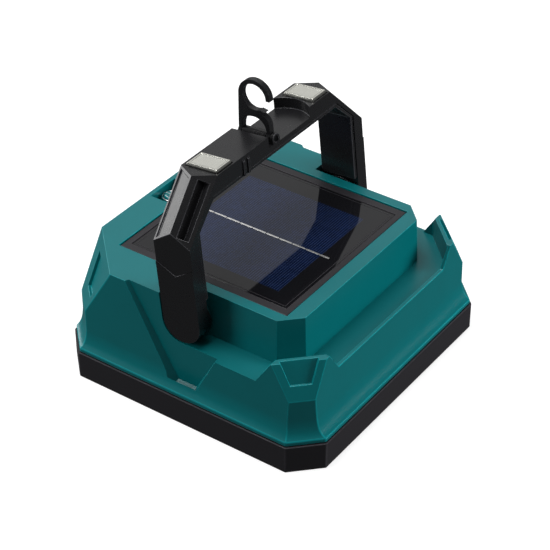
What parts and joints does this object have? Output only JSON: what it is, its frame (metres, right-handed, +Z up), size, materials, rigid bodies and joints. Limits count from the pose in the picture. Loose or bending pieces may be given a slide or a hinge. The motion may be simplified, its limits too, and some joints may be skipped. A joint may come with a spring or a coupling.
{
  "type": "solar lantern",
  "caption": "Octagonal work lantern with a solar panel on its stepped top, a folding arched handle with magnets and a flip-up hanging hook, and a lens underneath.",
  "frame": {"origin": "middle of the base rim, on the surface the lantern stands on", "axes": "+Z up, out of the solar panel; +Y along the handle's bar and hinge; +X towards the low wall that the folded handle drops behind"},
  "size_m": [0.16, 0.1686, 0.1566],
  "materials": {
    "black_plastic": "fine moulded texture, satin",
    "teal_plastic": "fine moulded texture, satin",
    "rubber": "matt",
    "nickel": "bright nickel plate",
    "steel": "zinc-plated, satin",
    "aluminium": "extruded, plain",
    "clear_plastic": "clear moulding, frosted inside",
    "white_plastic": "smooth",
    "amber_plastic": "light-emitting diode domes",
    "board_green": "solder-masked circuit board",
    "solar_cell": "dark blue cells under a clear coat",
    "cell_wrap": "shrink wrap",
    "chip_black": "moulded epoxy"
  },
  "bodies": {
    "root": {"bezel": "black_plastic", "battery_tray": "black_plastic", "solar_board": "black_plastic", "housing": "teal_plastic", "housing_seal": "rubber", "lens_gasket": "rubber", "button_trim_ring": "nickel", "battery_strip_near": "nickel", "battery_strip_far": "nickel", "case_screw_left_near": "steel", "case_screw_left_far": "steel", "case_screw_right_near": "steel", "case_screw_right_far": "steel", "usb_socket": "steel", "heat_sink": "aluminium", "light_lens": "clear_plastic", "indicator_light_pipe": "clear_plastic", "reflector": "white_plastic", "led_board": "white_plastic", "solar_busbar": "white_plastic", "led_array": "amber_plastic", "control_board": "board_green", "solar_wafer": "solar_cell", "battery_cell_1": "cell_wrap", "battery_cell_2": "cell_wrap", "battery_cell_3": "cell_wrap", "battery_cell_4": "cell_wrap", "charge_chip": "chip_black", "driver_chip": "chip_black", "driver_coil": "chip_black", "power_switch": "chip_black"},
    "handle": {"handle": "black_plastic", "handle_liner": "black_plastic", "magnet_near": "nickel", "magnet_far": "nickel", "hook_pin": "steel", "pivot_pin_near": "steel", "pivot_pin_far": "steel", "friction_washer_near": "nickel", "friction_washer_far": "nickel"},
    "hook": {"hook": "black_plastic"},
    "power_button": {"power_button": "teal_plastic"},
    "usb_flap": {"usb_flap": "rubber"}
  },
  "joints": [
    {"name": "handle_hinge", "type": "hinge", "parent": "root", "child": "handle", "pos_m": [-0.0031, 0, 0.0565], "axis": [0, 1, 0], "range_deg": [0, 95]},
    {"name": "hook_hinge", "type": "hinge", "parent": "handle", "child": "hook", "pos_m": [-0.01034, 0, 0.12542], "axis": [-0.9945, 0, -0.1045], "range_deg": [0, 90]},
    {"name": "button_press", "type": "slide", "parent": "root", "child": "power_button", "axis": [0, 0, -1], "range_m": [0, 0.0012], "stiffness_N_per_m": 600},
    {"name": "flap_hinge", "type": "hinge", "parent": "root", "child": "usb_flap", "pos_m": [-0.0765, 0.034, 0.0551], "axis": [0, 1, 0], "range_deg": [0, 100]}
  ]
}
